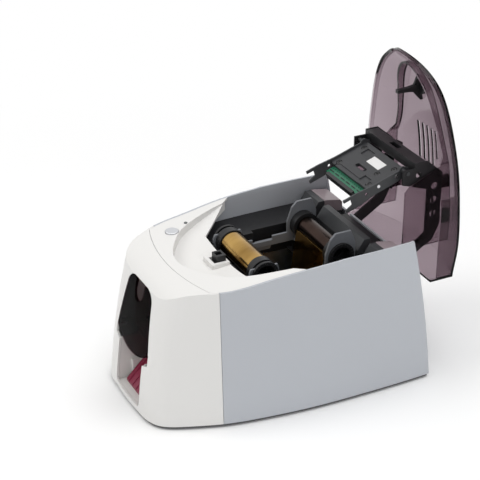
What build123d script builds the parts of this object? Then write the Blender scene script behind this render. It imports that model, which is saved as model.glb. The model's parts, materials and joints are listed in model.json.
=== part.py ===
from build123d import *
import math
import os

# A desktop card printer with its hinged lid standing open, in millimetres.
# The front faces -Y, cards run along Y, and Z is up from the table.
# What rides on the lid is drawn with the lid shut and then turned open.

# ---- driving dimensions: body -------------------------------------------------------
BODY_WIDTH = 205.0
BODY_LENGTH = 306.0
SIDE_HEIGHT = 163.0
WALL = 2.5
SEAM_GAP = 0.4
FOOT_HEIGHT = 1.5
FOOT_RADIUS = 8.0
TRAY_THICKNESS = 2.5
TRAY_INSET = 1.6
SEAM_FROM_FRONT = 70.0
DECK_NOSE = 20.0
CREASE_STRIP = 2.2
DECK_FLOOR_DROP = 26.0
DISH_RADIUS = 250.0
REAR_PANEL_DROP = 30.0

# ---- driving dimensions: ribbon bay and frame ---------------------------------------
BAY_FRONT_FROM_REAR = 190.6
BAY_LENGTH = 130.0
BAY_HALF = 48.0
BAY_REAR_HALF = 54.0
BAY_SPLIT = 56.0
FLANGE_THICKNESS = 2.0
FRAME_HALF = 57.0
FRAME_THICKNESS = 1.6
SHAFT_RADIUS = 2.5
BUSH_RADIUS = 4.2
ROD_RADIUS = 3.0
ROD_END_RADIUS = 2.4
WELL_WALL = 1.6
ARM_SLOT_INNER = 43.5
ARM_SLOT_OUTER = 53.5
BEAM_HALF = 84.0
RUNNING = 0.05
SOFT_GAP = 0.3

# ---- driving dimensions: lid --------------------------------------------------------
OPEN_ANGLE = 90.0
PIVOT_FROM_REAR = 23.0
PIVOT_BELOW_TOP = 51.0
LID_REACH = 53.4
LID_REAR_GAP = 18.5
LID_CROWN_RADIUS = 200.0
LID_THICKNESS = 2.4
LID_LIP = 3.5
LID_RIM = 2.2
LID_WALL_START = 42.0
LID_CLEARANCE = 1.0
LID_WALL_DROP = 17.0
LID_REAR_DROP = 25.0
SKIRT_HALF = 52.5
SKIRT_THICKNESS = 1.8
SKIRT_DROP = 39.0
VENT_PITCH = 8.4
VENT_WIDTH = 3.2
ARM_HALF = 49.6
ARM_THICKNESS = 1.8
SCREW_RADIUS = 1.2

# ---- driving dimensions: print head -------------------------------------------------
HEAD_HALF = 38.0
HEAD_LENGTH = 46.0
HEAD_THICKNESS = 4.0
HEAD_TILT = 18.4
FORK_THICKNESS = 1.6
HEAD_PIN = 2.0
HEAD_BOARD_END = 56.0
HEAD_BAR_END = 60.0
BAR_HALF = 26.5

# ---- driving dimensions: ribbon cassette --------------------------------------------
SPOOL_PITCH = 88.0
SUPPLY_FROM_BAY = 22.6
SPOOL_BELOW_TOP = 25.0
FILM_HALF = 30.0
FILM_RADIUS = 13.4
TAKEUP_FILM = 11.0
WEB_THICKNESS = 0.4
CORE_RADIUS = 9.0
RING_RADIUS = 14.6
RING_BORE = 10.5
JOURNAL_RADIUS = 12.4
CASSETTE_HALF = 46.0
END_PLATE_OUTER = 43.0
END_PLATE_THICKNESS = 2.6
CASSETTE_DEPTH = 19.0

# ---- driving dimensions: card path --------------------------------------------------
CARD_WIDTH = 54.0
CARD_LINE_Z = 73.0
PLATEN_RADIUS = 8.0
ROLLER_RADIUS = 7.0
PLATEN_HALF = 26.5
FEED_HALF = 12.0
FEED_ROLLER_Z = 66.2
GEAR_X = 61.5
GEAR_WIDTH = 4.0
GEAR_MODULE = 1.0
PLATEN_TEETH = 28
ROLLER_TEETH = 35
PINION_TEETH = 14
BACKLASH = 0.15
MOTOR_RADIUS = 14.0
MOTOR_LENGTH = 24.0
MOTOR_COLLAR = 4.5
MOTOR_SHAFT = 1.5
BOARD_Z = 12.0
BOARD_HALF = 37.0
BOARD_FRONT = 50.0
BOARD_REAR = 132.0
POWER_BOX = (-34.0, -20.0, 13.6, 25.6)
USB_BOX = (-10.0, 2.0, 13.6, 24.6)

# ---- driving dimensions: front ------------------------------------------------------
WINDOW_HALF = 39.0
WINDOW_TOP = 137.0
WINDOW_SIDE_BOTTOM = 72.0
WINDOW_MID_BOTTOM = 60.0
WINDOW_CORNER = 14.0
NOTCH_HALF = 9.5
NOTCH_DEPTH = 21.0
EXIT_HALF = 29.0
EXIT_TOP = 66.0
EXIT_BOTTOM = 9.0
BIN_DEPTH = 49.0
BIN_TOP = 60.0
COVER_AXIS_Z = 74.0
COVER_AXIS_DEPTH = 8.5
BUTTON_X = -58.0
BUTTON_BEHIND_SEAM = 11.5
BUTTON_RADIUS = 7.2
BUTTON_TRAVEL = 1.5
LED_X = -66.0
LED_BEHIND_SEAM = 31.0
LED_RADIUS = 1.9
LATCH_TRAVEL = 3.0
BUTTON_BOARD_Z = 137.0

# ---- places worked out from them ----------------------------------------------------
HALF = BODY_WIDTH / 2
FRONT = -BODY_LENGTH / 2
REAR = BODY_LENGTH / 2
TOP = SIDE_HEIGHT
SKIN_BOTTOM = FOOT_HEIGHT + TRAY_THICKNESS
FRAME_BOTTOM = SKIN_BOTTOM
SEAM_Y = FRONT + SEAM_FROM_FRONT
PIVOT_Y = REAR - PIVOT_FROM_REAR
PIVOT_Z = TOP - PIVOT_BELOW_TOP
BAY_FRONT = REAR - BAY_FRONT_FROM_REAR
BAY_REAR = BAY_FRONT + BAY_LENGTH
BAY_MID = BAY_FRONT + BAY_SPLIT
LID_TIP = BAY_FRONT - LID_REACH
LID_REAR = REAR - LID_REAR_GAP
DECK_FLOOR = TOP - DECK_FLOOR_DROP
FLANGE_TOP = DECK_FLOOR - WALL - 0.2
FRAME_TOP = FLANGE_TOP - FLANGE_THICKNESS
SUPPLY_Y = BAY_FRONT + SUPPLY_FROM_BAY
TAKEUP_Y = SUPPLY_Y + SPOOL_PITCH
SPOOL_Z = TOP - SPOOL_BELOW_TOP
LEDGE_TOP = SPOOL_Z - CASSETTE_DEPTH
DECK_SIDE_END = BAY_FRONT + 46.0
LATCH_Y = BAY_FRONT - 10.5
HEAD_TOP_Y = BAY_FRONT + 61.0
HEAD_TOP_Z = TOP - 32.0
FORK_Y = HEAD_TOP_Y + 22.0
PLATEN_Y = BAY_FRONT + 86.0
PLATEN_Z = CARD_LINE_Z - PLATEN_RADIUS
EXIT_ROLLER_Y = FRONT + 65.0
FEED_ROLLER_Y = FRONT + 92.0
PIVOT = Axis((0, PIVOT_Y, PIVOT_Z), (1, 0, 0))
FRAME_OUTER = FRAME_HALF + FRAME_THICKNESS
ROLLER_SPACING = ROLLER_TEETH * GEAR_MODULE + BACKLASH
EXIT_ROLLER_Z = FEED_ROLLER_Z - math.sqrt(ROLLER_SPACING**2 - (FEED_ROLLER_Y - EXIT_ROLLER_Y) ** 2)
WELL_FLOOR = DECK_FLOOR - 33.0
REAR_FRAME_Y = BAY_REAR + 24.0
BEAM_TOP = TOP - 13.0
HOPPER_FRONT = FRONT + 26.0
HOPPER_REAR = BAY_FRONT - 6.4
HOPPER_TOP = DECK_FLOOR - 9.0
BIN_BACK = FRONT + BIN_DEPTH
ARM_TOP = TOP + 7.0
HEAD_PIVOT_Y = HEAD_TOP_Y + 0.6
HEAD_PIVOT_Z = HEAD_TOP_Z - 3.0
CASSETTE_MID = (SUPPLY_Y + TAKEUP_Y) / 2
LID_CROWN = [
    (BAY_FRONT - 60.4, TOP - 29.0),
    (BAY_FRONT - 46.9, TOP - 10.0),
    (BAY_FRONT - 27.4, TOP + 3.0),
    (BAY_FRONT - 2.4, TOP + 10.8),
    (BAY_FRONT + 32.6, TOP + 18.3),
    (BAY_FRONT + 67.6, TOP + 23.5),
    (BAY_FRONT + 102.6, TOP + 26.2),
    (BAY_FRONT + 137.6, TOP + 27.0),
    (BAY_FRONT + 177.6, TOP + 23.0),
]


# ---- helpers ------------------------------------------------------------------------
def block(x0, x1, y0, y1, z0, z1):
    return Pos((x0 + x1) / 2, (y0 + y1) / 2, (z0 + z1) / 2) * Box(x1 - x0, y1 - y0, z1 - z0)


def rod_x(x0, x1, y, z, radius):
    return Pos((x0 + x1) / 2, y, z) * Rot(0, 90, 0) * Cylinder(radius, x1 - x0)


def rod_y(y0, y1, x, z, radius):
    return Pos(x, (y0 + y1) / 2, z) * Rot(90, 0, 0) * Cylinder(radius, y1 - y0)


def rod_z(z0, z1, x, y, radius):
    return Pos(x, y, (z0 + z1) / 2) * Cylinder(radius, z1 - z0)


def side_plate(points, x0, x1):
    """A flat plate drawn in the YZ plane, from x0 to x1."""
    face = make_face(Polyline(*points, close=True).edges())
    return extrude(Plane.YZ.offset(x0) * face, amount=x1 - x0)


def front_plate(points, y0, y1):
    """A flat plate drawn in the XZ plane, from y0 to y1."""
    face = make_face(Polyline(*points, close=True).edges())
    return extrude(Plane.XZ.offset(-y1) * face, amount=y1 - y0)


def mirrored(shape):
    return shape.mirror(Plane.YZ)


def solids_of(*shapes):
    return [solid for shape in shapes for solid in shape.solids()]


def group(*shapes):
    return Compound(solids_of(*shapes))


def both(*shapes):
    return group(*shapes, *[mirrored(shape) for shape in shapes])


def biggest(shape):
    """The largest solid of a cut shape, without the slivers that a cut can leave."""
    return max(shape.solids(), key=lambda solid: solid.volume)


def soften(shape, edges):
    """Rounds edges with the largest of a few radii that the form will take."""
    for radius in (2.4, 2.0, 1.5, 1.0, 0.6):
        try:
            return shape.fillet(radius, edges)
        except ValueError:
            continue
    return shape


def to_open(shape):
    """Turns a piece of the lid from shut, as drawn, to open."""
    return shape.rotate(PIVOT, -OPEN_ANGLE)


# ---- the body's outer form ----------------------------------------------------------
def lean(z, straight, curved):
    """How far a wall has moved inwards at height z."""
    return straight * z + curved * z * z


def rear_y(z):
    return REAR - lean(z, 0.06, 0.00046)


def front_y(z):
    return FRONT + lean(z, 0.06, 0.0007)


def plan_face(z, inset):
    """The body's outline at height z, moved in by inset."""
    front = front_y(z) + inset
    rear = rear_y(z) - inset
    side = HALF - 0.0606 * z - inset
    nose = SEAM_Y - front
    points = [
        (0, front),
        (0.28 * side, front + 0.015 * nose),
        (0.49 * side, front + 0.055 * nose),
        (0.605 * side, front + 0.15 * nose),
        (0.675 * side, front + 0.29 * nose),
        (0.73 * side, front + 0.47 * nose),
        (0.785 * side, front + 0.68 * nose),
        (0.858 * side, SEAM_Y),
        (0.932 * side, SEAM_Y + 40.0),
        (0.981 * side, SEAM_Y + 85.0),
        (side, REAR - 103.0),
        (side, REAR - 51.0),
        (0.985 * side, rear),
    ]
    half = Spline(*points, tangents=((1, 0), (-0.04, 1)))
    back = Line(points[-1], (-points[-1][0], points[-1][1]))
    return Plane.XY.offset(z) * make_face([half, back, half.mirror(Plane.YZ)])


def profile_points(drop):
    """The top of the body from the side: a rounded nose, then a slow climb to the rear."""
    spots = [
        (7, 51),
        (17.5, 32),
        (28, 20.5),
        (41, 14.5),
        (53, 12.5),
        (70, 11.5),
        (113, 7.5),
        (157, 2.6),
        (200, 0.3),
        (235, 0),
    ]
    return [(FRONT + along, TOP - below - drop) for along, below in spots]


def top_limit(drop):
    """A solid that fills everything below the top profile."""
    spots = profile_points(drop)
    curve = Spline(*spots, tangents=((0.35, 1), (1, 0)))
    ahead = FRONT - 40
    behind = REAR + 20
    rest = Polyline(
        spots[-1], (behind, TOP - drop), (behind, -10), (ahead, -10), (ahead, spots[0][1]), spots[0]
    )
    face = make_face([curve] + rest.edges())
    return extrude(Plane.YZ.offset(-HALF - 20) * face, amount=2 * HALF + 40)


def deck_height(y):
    """The height of the top profile at y, read between its points."""
    spots = profile_points(0)
    for (y0, z0), (y1, z1) in zip(spots, spots[1:]):
        if y0 <= y <= y1:
            return z0 + (z1 - z0) * (y - y0) / (y1 - y0)
    return TOP


def body_form(inset, base):
    """The body as one solid, moved in by inset, from the height of base up."""
    form = loft([plan_face(z, inset) for z in (base, TOP / 2, TOP + 2)])
    return form & top_limit(inset)


def make_skin():
    outer = body_form(0.0, SKIN_BOTTOM)
    rim = [edge for edge in outer.edges() if edge.bounding_box().min.Z > TOP - 60]
    rim = [edge for edge in rim if edge.bounding_box().min.Y < 0]
    softened = soften(outer, rim)
    return softened, softened - body_form(WALL, SKIN_BOTTOM - 5)


# ---- outlines in plan ---------------------------------------------------------------
def deck_front_arc(offset):
    """The deck's front seam, an arc from side seam to side seam."""
    half = 0.86 * HALF + 4
    return ThreePointArc(
        (-half, SEAM_Y + offset), (0, SEAM_Y - DECK_NOSE + offset), (half, SEAM_Y + offset)
    )


def core_prism(inset):
    """The column inside the top crease, which parts the top from the sides."""
    return extrude(plan_face(TOP, inset).moved(Pos(0, 0, -TOP - 5)), amount=TOP + 40)


def lid_half_points(inset):
    spots = [
        (0.0, 0.0),
        (20.0, 5.0),
        (40.0, 17.0),
        (51.0, 26.0),
        (62.5, 42.0),
        (73.0, 68.0),
        (80.5, 96.0),
        (85.0, 121.0),
        (87.0, 151.0),
        (87.2, 191.0),
    ]
    scale = HALF / 102.5
    points = [(x * scale - inset * min(1, x / 20), LID_TIP + inset + y) for x, y in spots]
    return points[:-1] + [(points[-1][0], LID_REAR - inset)]


def lid_outline(inset):
    points = lid_half_points(inset)
    half = Spline(*points, tangents=((1, 0), (0, 1)))
    back = Line(points[-1], (-points[-1][0], points[-1][1]))
    return make_face([half, back, half.mirror(Plane.YZ)])


def lid_prism(inset, z0, z1):
    return extrude(Plane.XY.offset(z0) * lid_outline(inset), amount=z1 - z0)


# ---- casing -------------------------------------------------------------------------
def make_front_shell(skin):
    back = SEAM_Y - SEAM_GAP / 2
    front_part = skin & block(-HALF, HALF, FRONT - 5, back, 0, TOP + 20)
    arc = deck_front_arc(-SEAM_GAP / 2)
    end = arc @ 1
    behind = Polyline(end, (end.X, REAR), (-end.X, REAR), arc @ 0)
    cut = extrude(Plane.XY.offset(TOP - 36) * make_face([arc] + behind.edges()), amount=60)
    core = core_prism(CREASE_STRIP)
    shell = front_part - (cut & core)
    shell -= window_column(0.0)
    shell -= exit_column(0.0)
    return biggest(shell)


def window_outline(gap):
    """The feeder window from the front: round shoulders and a bowed lower edge."""
    half = WINDOW_HALF - gap
    top = WINDOW_TOP - gap
    low = WINDOW_SIDE_BOTTOM + gap
    upper = half - 9
    corner = WINDOW_CORNER
    left = Polyline((-half, low), (-upper, top - corner))
    shoulder_middle = (-upper + 0.32 * corner, top - 0.3 * corner)
    shoulder = ThreePointArc((-upper, top - corner), shoulder_middle, (-upper + corner, top))
    crown = Line((-upper + corner, top), (upper - corner, top))
    shoulder_right = shoulder.mirror(Plane.YZ)
    right = left.mirror(Plane.YZ)
    bow = ThreePointArc((-half, low), (0, WINDOW_MID_BOTTOM + gap), (half, low))
    return make_face([*left.edges(), shoulder, crown, shoulder_right, *right.edges(), bow])


def window_column(gap):
    return extrude(Plane.XZ.offset(-FRONT - 70) * window_outline(gap), amount=100)


def exit_column(gap):
    half = EXIT_HALF - gap
    points = [
        (-WINDOW_HALF - 0.2, EXIT_TOP + 8),
        (WINDOW_HALF + 0.2, EXIT_TOP + 8),
        (WINDOW_HALF + 0.2, EXIT_TOP - 4),
        (half, EXIT_TOP - 8),
        (half, EXIT_BOTTOM + 3),
        (half - 3, EXIT_BOTTOM),
        (-half + 3, EXIT_BOTTOM),
        (-half, EXIT_BOTTOM + 3),
        (-half, EXIT_TOP - 8),
        (-WINDOW_HALF - 0.2, EXIT_TOP - 4),
    ]
    return front_plate(points, FRONT - 30, FRONT + 70)


def make_side_panel(skin):
    front = SEAM_Y + SEAM_GAP / 2
    panel = skin & block(0.5 * HALF, HALF + 5, front, REAR + 5, 0, TOP + 20)
    panel -= core_prism(CREASE_STRIP)
    edge = side_edge_x()
    panel -= block(-HALF, edge, rear_y(0) - 40, REAR + 10, 0, TOP + 20)
    return biggest(panel)


def side_edge_x():
    """Where the rear panel ends and a side panel begins."""
    return 0.985 * (HALF - 0.0606 * TOP) - WALL - 0.4


def make_rear_panel(skin):
    edge = side_edge_x() - SEAM_GAP
    panel = skin & block(-edge, edge, REAR - 45, REAR + 5, 0, TOP - REAR_PANEL_DROP)
    slot = block(ARM_SLOT_INNER, ARM_SLOT_OUTER, REAR - 50, REAR + 5, PIVOT_Z - 14, TOP)
    slots = [slot, mirrored(slot)]
    sockets = socket_column(POWER_BOX, SOFT_GAP) + socket_column(USB_BOX, SOFT_GAP)
    vents = [block(20 + 7 * i, 23 + 7 * i, REAR - 20, REAR + 5, 60, 86) for i in range(7)]
    for cutter in [*slots, sockets, *vents]:
        panel -= cutter
    return biggest(panel)


def socket_column(box, gap):
    x0, x1, z0, z1 = box
    return block(x0 - gap, x1 + gap, REAR - 24, REAR + 5, z0 - gap, z1 + gap)


def dish(offset):
    """A shallow hollow in the deck, centred ahead of the bay."""
    centre = (0, BAY_FRONT - 28, DECK_FLOOR + DISH_RADIUS)
    return Pos(*centre) * Sphere(DISH_RADIUS + offset)


def make_deck(form):
    arc = deck_front_arc(SEAM_GAP / 2)
    end = arc @ 1
    inner = HALF - 0.0606 * TOP - CREASE_STRIP
    sides = Polyline(
        end,
        (inner + 20, SEAM_Y + 40),
        (inner + 20, DECK_SIDE_END),
        (inner - 1, DECK_SIDE_END),
        (BAY_HALF, BAY_FRONT),
        (-BAY_HALF, BAY_FRONT),
        (-inner + 1, DECK_SIDE_END),
        (-inner - 20, DECK_SIDE_END),
        (-inner - 20, SEAM_Y + 40),
        arc @ 0,
    )
    footprint = make_face([arc] + sides.edges())
    region = extrude(Plane.XY.offset(DECK_FLOOR - WALL) * footprint, amount=60)
    block_form = form & region & core_prism(CREASE_STRIP + 0.15)
    recess = lid_prism(-LID_CLEARANCE, DECK_FLOOR - 20, TOP + 20) & dish(0.0)
    under = (lid_prism(-LID_CLEARANCE - WALL, 0, TOP + 20) - dish(WALL)) & block(
        -HALF, HALF, FRONT, REAR, 0, DECK_FLOOR + 12
    )
    rim_hollow = body_form(WALL, SKIN_BOTTOM) - lid_prism(-LID_CLEARANCE - WALL, 0, TOP + 20)
    deck = block_form - recess
    deck -= rim_hollow
    deck -= under
    plinth = block(-11, 11, LATCH_Y - 9.5, BAY_FRONT - 0.5, DECK_FLOOR - 1, DECK_FLOOR + 5)
    deck = biggest(deck) + plinth
    deck -= block(-7, 7, LATCH_Y - 5.5, LATCH_Y + 8, DECK_FLOOR - 10, TOP)
    deck -= rod_z(DECK_FLOOR, TOP, BUTTON_X, button_y(), BUTTON_RADIUS + SOFT_GAP)
    deck -= rod_z(DECK_FLOOR, TOP, LED_X, led_y(), LED_RADIUS + 0.05)
    return biggest(deck)


def button_y():
    return SEAM_Y + BUTTON_BEHIND_SEAM


def led_y():
    return SEAM_Y + LED_BEHIND_SEAM


def make_base_tray():
    low = extrude(plan_face(FOOT_HEIGHT, TRAY_INSET), amount=TRAY_THICKNESS)
    wall = extrude(plan_face(FOOT_HEIGHT, TRAY_INSET + WALL + 0.6), amount=12)
    hollow = extrude(plan_face(FOOT_HEIGHT + TRAY_THICKNESS, TRAY_INSET + WALL + 3.0), amount=20)
    bin_gap = block(-EXIT_HALF - 4, EXIT_HALF + 4, FRONT, FRONT + 20, SKIN_BOTTOM, 20)
    return low + (wall - hollow - bin_gap)


def make_feet():
    spots = [(0.6 * HALF, FRONT + 32), (0.84 * HALF, REAR - 22)]
    feet = [rod_z(0, FOOT_HEIGHT, x, y, FOOT_RADIUS) for x, y in spots]
    return both(*feet)


# ---- frame and ribbon bay -----------------------------------------------------------
def make_chassis_plates():
    """Two steel plates that stand on the tray and carry the shafts and the hinge pin."""
    points = [
        (FRONT + 38, FRAME_BOTTOM),
        (REAR - 18, FRAME_BOTTOM),
        (REAR - 18, PIVOT_Z + 2),
        (REAR - 24, PIVOT_Z + 9),
        (BAY_REAR + 18, FRAME_TOP),
        (BAY_FRONT + 6, FRAME_TOP),
        (BAY_FRONT - 26, 100),
        (FRONT + 44, 96),
        (FRONT + 38, 88),
    ]
    plate = side_plate(points, FRAME_HALF, FRAME_OUTER)
    for y, z in roller_places():
        plate -= rod_x(FRAME_HALF - 1, FRAME_OUTER + 1, y, z, BUSH_RADIUS + RUNNING)
    for y, z in rod_places():
        plate -= rod_x(FRAME_HALF - 1, FRAME_OUTER + 1, y, z, ROD_END_RADIUS + RUNNING)
    plate -= rod_x(FRAME_HALF - 1, FRAME_OUTER + 1, PIVOT_Y, PIVOT_Z, SHAFT_RADIUS + RUNNING)
    for window in (block(50, 64, 62, 84, 30, 92), block(50, 64, -36, 16, 22, 60)):
        plate -= window
    right = plate
    for y, z in (drive_pinion_place(), feed_pinion_place()):
        right -= rod_x(FRAME_HALF - 1, FRAME_OUTER + 1, y, z, MOTOR_COLLAR + SOFT_GAP)
    return group(right, mirrored(plate))


def roller_places():
    return [(PLATEN_Y, PLATEN_Z), (FEED_ROLLER_Y, FEED_ROLLER_Z), (EXIT_ROLLER_Y, EXIT_ROLLER_Z)]


def rod_places():
    return [(FRONT + 55, 24), (FRONT + 46, 68.5), (BAY_REAR + 34, 60), (-22, 64), (BAY_REAR + 2, 66)]


def make_chassis_rods():
    """Cross rods with turned-down ends that sit in the plates."""
    rods = []
    for y, z in rod_places():
        bar = rod_x(-FRAME_HALF, FRAME_HALF, y, z, ROD_RADIUS)
        rods.append(bar + rod_x(-FRAME_OUTER, FRAME_OUTER, y, z, ROD_END_RADIUS))
    return group(*rods)


def make_hinge_pin():
    pin = rod_x(-FRAME_OUTER - 1.5, FRAME_OUTER + 1.5, PIVOT_Y, PIVOT_Z, SHAFT_RADIUS)
    return pin + rod_x(FRAME_OUTER, FRAME_OUTER + 1.5, PIVOT_Y, PIVOT_Z, SHAFT_RADIUS + 1.5)


def make_bay_liner():
    """The black flange under the deck, the well for the ribbon and its ledges."""
    sheet = extrude(plan_face(FRAME_TOP, WALL + 0.8), amount=FLANGE_THICKNESS)
    sheet &= block(-HALF, HALF, BAY_FRONT + 0.2, REAR - 22, 0, TOP)
    front_well = block(-BAY_HALF, BAY_HALF, BAY_FRONT, BAY_MID + 1, WELL_FLOOR, TOP)
    rear_well = block(-BAY_REAR_HALF, BAY_REAR_HALF, BAY_MID, BAY_REAR, WELL_FLOOR, TOP)
    wall = WELL_WALL
    low = WELL_FLOOR - wall
    front_out = BAY_HALF + wall
    front_box = block(-front_out, front_out, BAY_FRONT - wall, BAY_MID, low, FLANGE_TOP)
    side_out = BAY_REAR_HALF + wall
    rear_box = block(-side_out, side_out, BAY_MID - wall, BAY_REAR + wall, low, FLANGE_TOP)
    liner = sheet + front_box + rear_box - front_well - rear_well
    liner -= block(-39.0, 39.0, 8, BAY_REAR - 30, 90, WELL_FLOOR + 1)
    liner -= block(-BAY_REAR_HALF, BAY_REAR_HALF, BAY_MID + 1, BAY_REAR - 30, 90, WELL_FLOOR + 1)
    arm_slot = block(ARM_SLOT_INNER, ARM_SLOT_OUTER, BAY_REAR - 6, REAR, 100, TOP)
    centre = block(-ARM_SLOT_INNER - 0.1, ARM_SLOT_INNER + 0.1, BAY_REAR + wall, REAR, 90, TOP)
    for cutter in (arm_slot, mirrored(arm_slot), centre):
        liner -= cutter
    for y0, y1 in ((BAY_FRONT + 6, 6), (BAY_REAR - 27, BAY_REAR - 7)):
        ledge = block(39.5, 47.1, y0, y1, LEDGE_TOP - 2, LEDGE_TOP)
        post = block(45.5, 47.1, y0, y1, WELL_FLOOR - 0.5, LEDGE_TOP)
        liner += ledge + post
        liner += mirrored(ledge + post)
    return biggest(liner)


def make_rear_frame():
    """The stand behind the bay, with the shelf that the beam rests on."""
    half = ARM_SLOT_INNER - 0.3
    top = FRAME_TOP
    wall = block(-half, half, REAR_FRAME_Y, REAR_FRAME_Y + 4, 40, top)
    leg = block(half - 5, half, REAR_FRAME_Y, REAR_FRAME_Y + 4, FRAME_BOTTOM, 40)
    shelf = block(-half, half, BAY_REAR + WELL_WALL + 0.3, REAR - 22, top, FLANGE_TOP)
    hole = block(-26, 26, REAR_FRAME_Y - 1, REAR_FRAME_Y + 5, 70, 112)
    return wall + leg + mirrored(leg) + shelf - hole


def make_rear_beam():
    """The sloped beam behind the bay, cut away where the lid's arms pass."""
    y0 = BAY_REAR + 0.6
    points = [(y0, FLANGE_TOP), (y0, FLANGE_TOP + 4), (y0 + 8, BEAM_TOP)]
    points += [(y0 + 15, BEAM_TOP), (y0 + 15, FLANGE_TOP)]
    outer = side_plate(points, ARM_SLOT_OUTER, BEAM_HALF)
    middle = side_plate(points, -ARM_SLOT_INNER, ARM_SLOT_INNER)
    under = BEAM_TOP - 2.4
    groove = [(y0 + 2, 137), (y0 + 8.6, under), (y0 + 13, under), (y0 + 13, 137)]
    return group(outer, mirrored(outer), middle - side_plate(groove, -40, 40))


def make_corner_covers():
    y0 = BAY_REAR + 16
    points = [(y0, FLANGE_TOP), (y0, BEAM_TOP + 0.6), (REAR - 25, BEAM_TOP - 3)]
    points += [(REAR - 22.4, BEAM_TOP - 6), (REAR - 22.4, FLANGE_TOP)]
    cover = side_plate(points, ARM_SLOT_OUTER, BEAM_HALF - 0.4)
    cover = cover.fillet(1.2, cover.edges().filter_by(Axis.X).sort_by(Axis.Z)[-1:])
    hollow = block(ARM_SLOT_OUTER + 2, BEAM_HALF - 2.4, y0 + 2, REAR - 25, FLANGE_TOP - 1, BEAM_TOP - 5)
    return both(cover - hollow)


# ---- card path ----------------------------------------------------------------------
def spur_gear(teeth, y, z, x0, x1, phase):
    """A gear about X with straight-sided teeth, one of them pointing at phase."""
    pitch_radius = teeth * GEAR_MODULE / 2
    pitch = 2 * math.pi / teeth
    flank = [(-1.15, 0.30), (0.0, 0.225), (0.8, 0.12)]
    spots = []
    for tooth in range(teeth):
        middle = phase + tooth * pitch
        sides = [(-share, rise) for rise, share in flank] + [(share, rise) for rise, share in flank[::-1]]
        for share, rise in sides:
            reach = pitch_radius + rise * GEAR_MODULE
            turn = middle + share * pitch
            spots.append((y + reach * math.cos(turn), z + reach * math.sin(turn)))
    return side_plate(spots, x0, x1)


def direction(start, end):
    return math.atan2(end[1] - start[1], end[0] - start[0])


def meshing_phase(phase, teeth, bearing, other_teeth):
    """The phase that sets a second gear's gap on the first gear's tooth."""
    pitch = 2 * math.pi / teeth
    offset = (bearing - phase + pitch / 2) % pitch - pitch / 2
    return bearing + math.pi + offset * teeth / other_teeth + math.pi / other_teeth


def beside(place, teeth, other_teeth, bearing):
    """Where a second gear's centre lies, with a little backlash."""
    reach = (teeth + other_teeth) * GEAR_MODULE / 2 + BACKLASH
    return (place[0] + reach * math.cos(bearing), place[1] + reach * math.sin(bearing))


def drive_pinion_place():
    return beside((PLATEN_Y, PLATEN_Z), PLATEN_TEETH, PINION_TEETH, math.radians(-90))


def feed_pinion_place():
    return beside((FEED_ROLLER_Y, FEED_ROLLER_Z), ROLLER_TEETH, PINION_TEETH, math.radians(-50))


def make_shaft(y, z):
    return rod_x(-FRAME_OUTER - 0.6, GEAR_X + GEAR_WIDTH + 0.6, y, z, SHAFT_RADIUS)


def make_roller(y, z, radius, half):
    roller = rod_x(-half, half, y, z, radius)
    return roller - rod_x(-half - 1, half + 1, y, z, SHAFT_RADIUS + RUNNING)


def bored_gear(teeth, y, z, phase):
    gear = spur_gear(teeth, y, z, GEAR_X, GEAR_X + GEAR_WIDTH, phase)
    gear += rod_x(GEAR_X - 1.8, GEAR_X, y, z, SHAFT_RADIUS + 2)
    gear -= rod_x(GEAR_X - 2, GEAR_X + GEAR_WIDTH + 1, y, z, SHAFT_RADIUS + RUNNING)
    for hole in range(5):
        turn = phase + 2 * math.pi * hole / 5
        reach = teeth * GEAR_MODULE * 0.3
        spot = (y + reach * math.cos(turn), z + reach * math.sin(turn))
        gear -= rod_x(GEAR_X - 1, GEAR_X + GEAR_WIDTH + 1, *spot, reach * 0.36)
    return gear


def make_gears():
    """The gears by node name, phased so that every pair is in mesh."""
    platen = (PLATEN_Y, PLATEN_Z)
    feed = (FEED_ROLLER_Y, FEED_ROLLER_Z)
    exit_place = (EXIT_ROLLER_Y, EXIT_ROLLER_Z)
    down = direction(platen, drive_pinion_place())
    back = direction(feed, exit_place)
    aside = direction(feed, feed_pinion_place())
    exit_phase = meshing_phase(back, ROLLER_TEETH, back, ROLLER_TEETH)
    drive_phase = meshing_phase(down, PLATEN_TEETH, down, PINION_TEETH)
    feed_phase = meshing_phase(back, ROLLER_TEETH, aside, PINION_TEETH)
    return {
        "platen_gear": bored_gear(PLATEN_TEETH, *platen, down),
        "feed_gear": bored_gear(ROLLER_TEETH, *feed, back),
        "exit_gear": bored_gear(ROLLER_TEETH, *exit_place, exit_phase),
        "drive_pinion": make_pinion(drive_pinion_place(), drive_phase),
        "feed_pinion": make_pinion(feed_pinion_place(), feed_phase),
    }


def make_pinion(place, phase):
    gear = spur_gear(PINION_TEETH, *place, GEAR_X, GEAR_X + GEAR_WIDTH, phase)
    return gear + rod_x(FRAME_HALF - 10, GEAR_X + 1, *place, MOTOR_SHAFT)


def make_motor(place):
    """A round motor on the inside of the right plate, with its collar in the plate."""
    can = rod_x(FRAME_HALF - MOTOR_LENGTH, FRAME_HALF, *place, MOTOR_RADIUS)
    collar = rod_x(FRAME_HALF, FRAME_OUTER + 0.4, *place, MOTOR_COLLAR)
    cap = rod_x(FRAME_HALF - MOTOR_LENGTH - 2, FRAME_HALF - MOTOR_LENGTH, *place, 5)
    bore = rod_x(FRAME_HALF - 11, FRAME_OUTER + 2, *place, MOTOR_SHAFT + RUNNING)
    return can + collar + cap - bore


def make_bushes():
    bushes = []
    for y, z in roller_places():
        bush = rod_x(FRAME_HALF - 2, FRAME_OUTER + 0.8, y, z, BUSH_RADIUS)
        bush += rod_x(FRAME_HALF - 2, FRAME_HALF, y, z, BUSH_RADIUS + 1.5)
        bushes.append(bush - rod_x(FRAME_HALF - 3, FRAME_OUTER + 2, y, z, SHAFT_RADIUS + RUNNING))
    return both(*bushes)


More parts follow.
